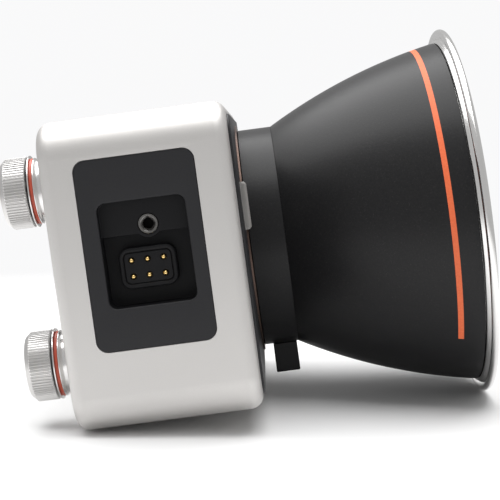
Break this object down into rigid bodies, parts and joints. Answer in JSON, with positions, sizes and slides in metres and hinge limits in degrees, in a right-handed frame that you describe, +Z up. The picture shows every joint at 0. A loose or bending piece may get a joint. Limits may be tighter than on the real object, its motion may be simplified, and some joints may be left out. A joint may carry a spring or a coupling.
{
  "type": "led monolight",
  "caption": "Palm-size LED monolight with a silver box body, rear dials, side docking port with spring contacts and a twist-on flared reflector.",
  "frame": {"origin": "on the optical axis at the face of the bayonet flange", "axes": "+X along the optical axis out of the reflector, -Y out of the docking face, +Z up with the two dials one above the other"},
  "size_m": [0.1169, 0.12, 0.1008],
  "materials": {
    "shell_silver": "fine bead-blasted, clear anodised",
    "plate_black": "fine matt moulded",
    "trim_bronze": "satin bronze",
    "mount_black": "hard black anodised",
    "screw_black": "black oxide",
    "screw_steel": "zinc plated",
    "glass_clear": "clear, coated",
    "holder_white": "white moulded",
    "phosphor": "smooth phosphor gel",
    "copper_board": "copper with solder mask",
    "heat_sink_metal": "milled",
    "fan_black": "moulded",
    "latch_grey": "satin taupe",
    "dock_black": "fine matt film",
    "cup_black": "matt moulded",
    "insert_steel": "turned",
    "contact_gold": "gold plated",
    "board_green": "solder mask",
    "dial_silver": "turned and knurled, clear anodised",
    "dial_collar": "polished",
    "ring_orange": "satin orange",
    "encoder_grey": "pressed",
    "plunger_white": "moulded",
    "display_black": "gloss",
    "button_black": "moulded",
    "component_dark": "moulded",
    "socket_steel": "drawn",
    "reflector_black": "satin powder coat",
    "reflector_silver": "polished",
    "tab_black": "moulded"
  },
  "bodies": {
    "body": {"body_shell": "shell_silver", "front_plate": "plate_black", "front_trim_ring": "trim_bronze", "bayonet_ring": "mount_black", "bayonet_screws": "screw_black", "front_plate_screws": "screw_black", "cover_glass": "glass_clear", "led_holder": "holder_white", "led_emitter": "phosphor", "led_board": "copper_board", "led_screws": "screw_steel", "heat_sink": "heat_sink_metal", "heat_sink_posts": "heat_sink_metal", "heat_sink_screws": "screw_steel", "fan_frame": "fan_black", "fan_stator": "copper_board", "fan_screws": "screw_steel", "rear_grille": "plate_black", "latch_spring": "screw_steel", "latch_bracket": "mount_black", "dock_plate": "dock_black", "dock_cup": "cup_black", "dock_thread_insert": "insert_steel", "contact_block": "cup_black", "contact_collar": "cup_black", "contact_board": "board_green", "knob_collar_upper": "dial_collar", "knob_collar_lower": "dial_collar", "knob_ring_upper": "ring_orange", "knob_ring_lower": "ring_orange", "encoder_upper": "encoder_grey", "encoder_lower": "encoder_grey", "control_board": "board_green", "control_board_screws": "screw_steel", "display_glass": "display_black", "display_module": "encoder_grey", "power_switch": "encoder_grey", "driver_board": "board_green", "driver_inductors": "component_dark", "driver_capacitors": "component_dark", "usb_c_socket": "socket_steel", "dc_socket": "component_dark"},
    "reflector": {"reflector_collar": "reflector_black", "reflector_housing": "reflector_black", "reflector_liner": "reflector_silver", "reflector_tab": "tab_black", "reflector_screws": "screw_black"},
    "latch": {"latch_button": "latch_grey", "latch_pin_plate": "screw_steel"},
    "push_upper": {"encoder_plunger_upper": "plunger_white"},
    "dial_upper": {"encoder_shaft_upper": "dial_silver", "knob_upper": "dial_silver"},
    "push_lower": {"encoder_plunger_lower": "plunger_white"},
    "dial_lower": {"encoder_shaft_lower": "dial_silver", "knob_lower": "dial_silver"},
    "power": {"power_button": "button_black"},
    "contacts": {"contact_pins": "contact_gold"},
    "fan": {"fan_rotor": "fan_black"}
  },
  "joints": [
    {"name": "reflector_twist", "type": "hinge", "parent": "body", "child": "reflector", "pos_m": [0, 0, 0], "axis": [1, 0, 0], "range_deg": [0, 40]},
    {"name": "latch_press", "type": "slide", "parent": "body", "child": "latch", "axis": [-1, 0, 0], "range_m": [0, 0.0014], "stiffness_N_per_m": 800, "deforming": ["latch_spring"]},
    {"name": "dial_upper_press", "type": "slide", "parent": "body", "child": "push_upper", "axis": [1, 0, 0], "range_m": [0, 0.0004], "stiffness_N_per_m": 1500},
    {"name": "dial_upper_turn", "type": "hinge", "parent": "push_upper", "child": "dial_upper", "pos_m": [-0.05, -0.049, 0.0213], "axis": [1, 0, 0], "continuous": true},
    {"name": "dial_lower_press", "type": "slide", "parent": "body", "child": "push_lower", "axis": [1, 0, 0], "range_m": [0, 0.0004], "stiffness_N_per_m": 1500},
    {"name": "dial_lower_turn", "type": "hinge", "parent": "push_lower", "child": "dial_lower", "pos_m": [-0.05, -0.049, -0.0213], "axis": [1, 0, 0], "continuous": true},
    {"name": "power_press", "type": "slide", "parent": "body", "child": "power", "axis": [1, 0, 0], "range_m": [0, 0.0005], "stiffness_N_per_m": 600},
    {"name": "contact_press", "type": "slide", "parent": "body", "child": "contacts", "axis": [0, 1, 0], "range_m": [0, 0.0008], "stiffness_N_per_m": 400},
    {"name": "fan_spin", "type": "hinge", "parent": "body", "child": "fan", "pos_m": [-0.032, 0, 0], "axis": [1, 0, 0], "continuous": true}
  ]
}
